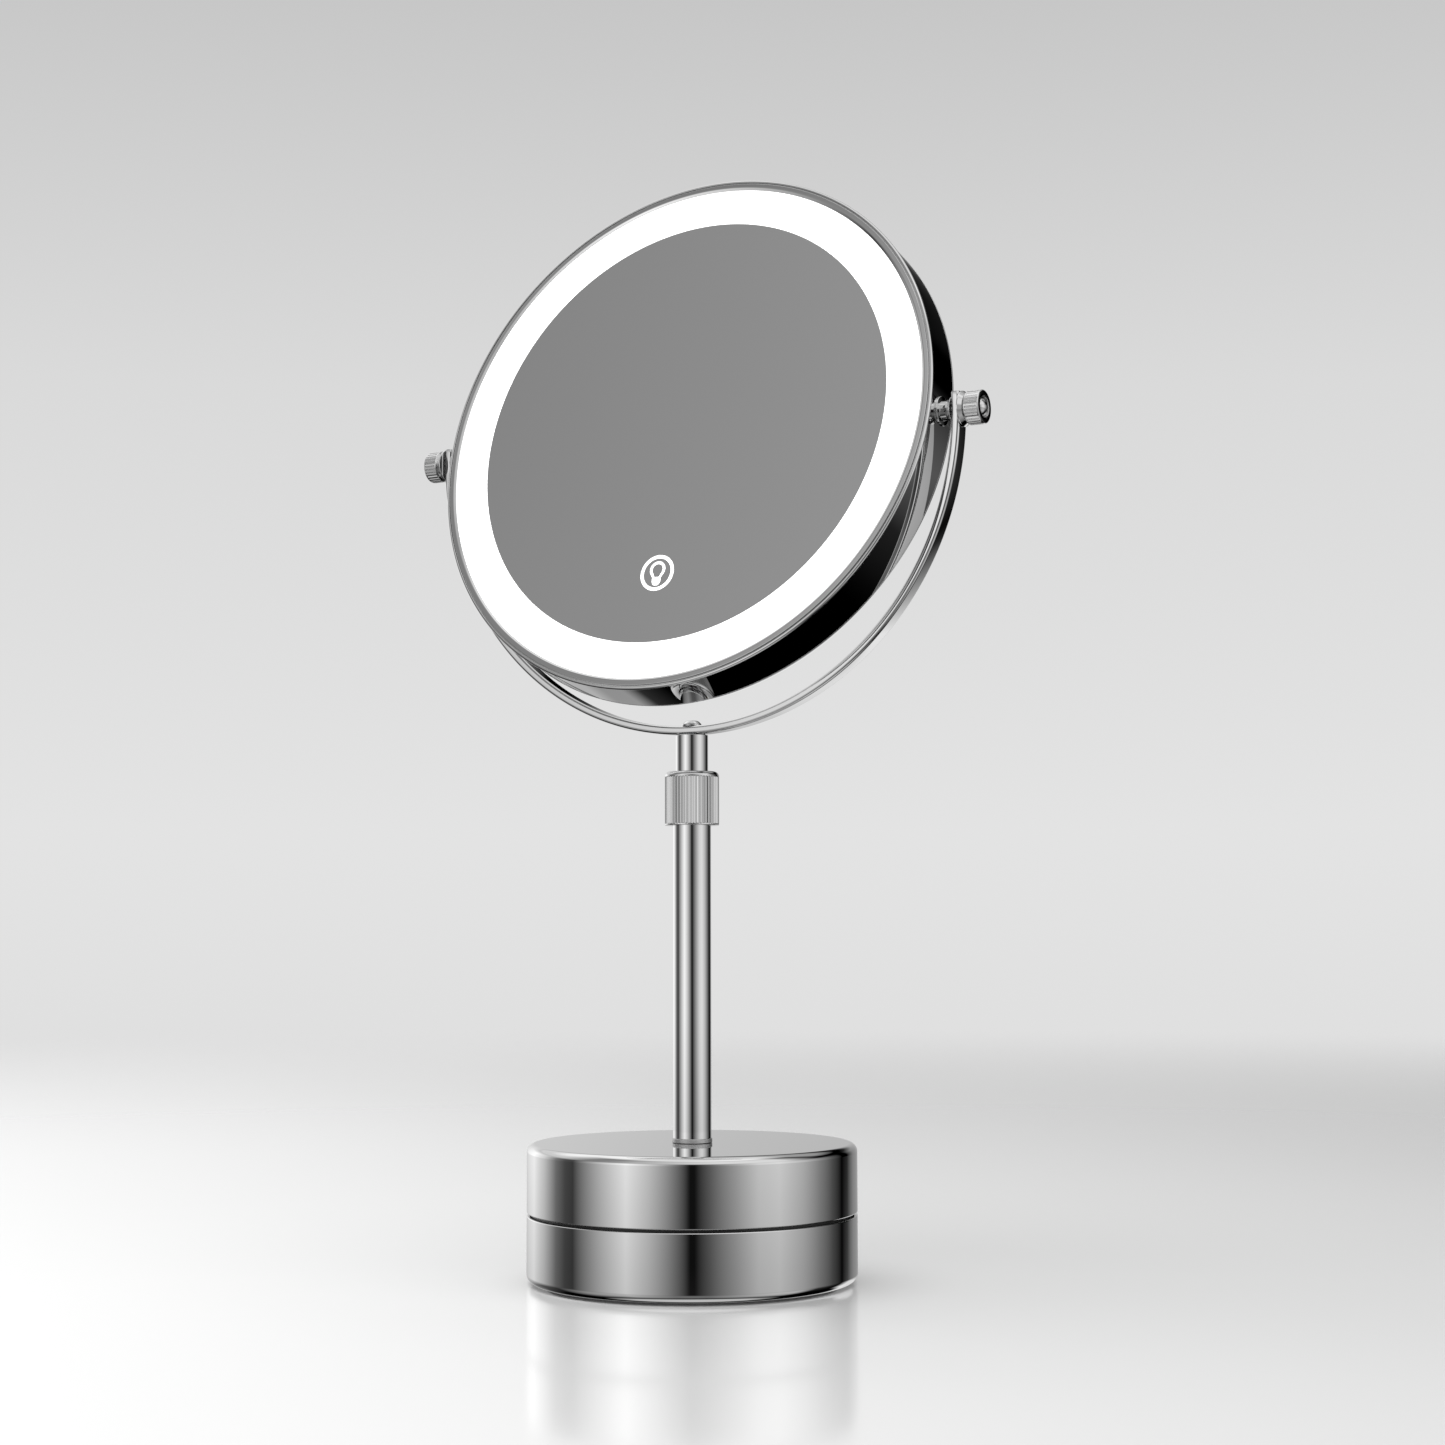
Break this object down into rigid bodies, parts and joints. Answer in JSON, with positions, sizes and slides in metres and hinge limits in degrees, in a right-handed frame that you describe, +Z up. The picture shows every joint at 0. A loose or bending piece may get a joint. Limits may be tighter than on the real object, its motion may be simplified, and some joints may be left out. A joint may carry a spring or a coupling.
{
  "type": "extendable shaving mirror",
  "caption": "Lit double-sided round shaving mirror on a yoke that swivels, a telescopic pole with a lock collar and a round weighted battery base.",
  "frame": {"origin": "middle of the underside of the base, on the surface it stands on", "axes": "+Z up the pole, the lit face looks towards -Y, the pivot axis runs along X"},
  "size_m": [0.2392, 0.12, 0.4108],
  "materials": {
    "chrome": "polished chrome plate on steel and brass",
    "steel": "zinc plated steel",
    "iron": "raw cast ballast",
    "brass": "turned brass",
    "nickel": "nickel plated contact strip",
    "black_plastic": "moulded black ABS",
    "white_plastic": "moulded white ABS",
    "rubber": "non-slip foam rubber",
    "mirror": "silvered glass",
    "frosted_light": "frosted light diffuser, lit white",
    "circuit_board": "lacquered circuit board",
    "led_board": "white solder mask",
    "cell": "printed cell sleeve, plain",
    "lead": "PVC lead sleeve"
  },
  "bodies": {
    "base_lower": {"base_pad": "rubber", "base_lower_shell": "chrome", "ballast_disc": "iron"},
    "base_upper": {"bayonet_ring": "black_plastic", "base_upper_shell": "chrome", "battery_tray": "black_plastic", "battery_cell_1": "cell", "battery_cell_2": "cell", "battery_cell_3": "cell", "battery_cell_4": "cell", "contact_plate_front": "nickel", "contact_plate_back": "nickel", "pole_stud": "steel", "pole_washer": "steel", "pole_nut": "steel", "pole_foot_ring": "chrome", "outer_tube": "chrome", "tube_insert": "steel", "collet": "brass"},
    "collar": {"lock_collar": "chrome"},
    "riser": {"inner_tube": "chrome", "slide_plug": "black_plastic", "top_plug": "steel", "pole_lead": "lead", "yoke_screw": "chrome"},
    "yoke": {"yoke": "chrome", "pivot_spacer_left": "chrome", "pivot_spacer_right": "chrome", "knob_washer_left": "chrome", "knob_washer_right": "chrome"},
    "head": {"front_bezel": "chrome", "back_bezel": "chrome", "front_mirror": "mirror", "light_diffuser": "frosted_light", "back_mirror": "mirror", "head_shell": "chrome", "inner_frame": "white_plastic", "led_ring_board": "led_board", "driver_board": "circuit_board", "touch_sensor": "brass", "head_lead": "lead", "pivot_stud_left": "chrome", "pivot_stud_right": "chrome", "pivot_nut_left": "steel", "pivot_nut_right": "steel"},
    "knob_left": {"clamp_knob_left": "chrome", "knob_cap_left": "chrome"},
    "knob_right": {"clamp_knob_right": "chrome", "knob_cap_right": "chrome"}
  },
  "joints": [
    {"name": "base_twist", "type": "hinge", "parent": "base_lower", "child": "base_upper", "pos_m": [0, 0, 0.0251], "axis": [0, 0, 1], "range_deg": [0, 25]},
    {"name": "collar_turn", "type": "hinge", "parent": "base_upper", "child": "collar", "pos_m": [0, 0, 0.175], "axis": [0, 0, 1], "range_deg": [0, 90]},
    {"name": "height_slide", "type": "slide", "parent": "base_upper", "child": "riser", "axis": [0, 0, 1], "range_m": [-0.012, 0.09]},
    {"name": "yoke_swivel", "type": "hinge", "parent": "riser", "child": "yoke", "pos_m": [0, 0, 0.1989], "axis": [0, 0, 1], "range_deg": [-170, 170]},
    {"name": "head_tilt", "type": "hinge", "parent": "yoke", "child": "head", "pos_m": [0, 0, 0.3093], "axis": [1, 0, 0], "range_deg": [-180, 180]},
    {"name": "knob_left_turn", "type": "hinge", "parent": "head", "child": "knob_left", "pos_m": [-0.115, 0, 0.3093], "axis": [-1, 0, 0], "range_deg": [0, 180]},
    {"name": "knob_right_turn", "type": "hinge", "parent": "head", "child": "knob_right", "pos_m": [0.115, 0, 0.3093], "axis": [1, 0, 0], "range_deg": [0, 180]}
  ]
}
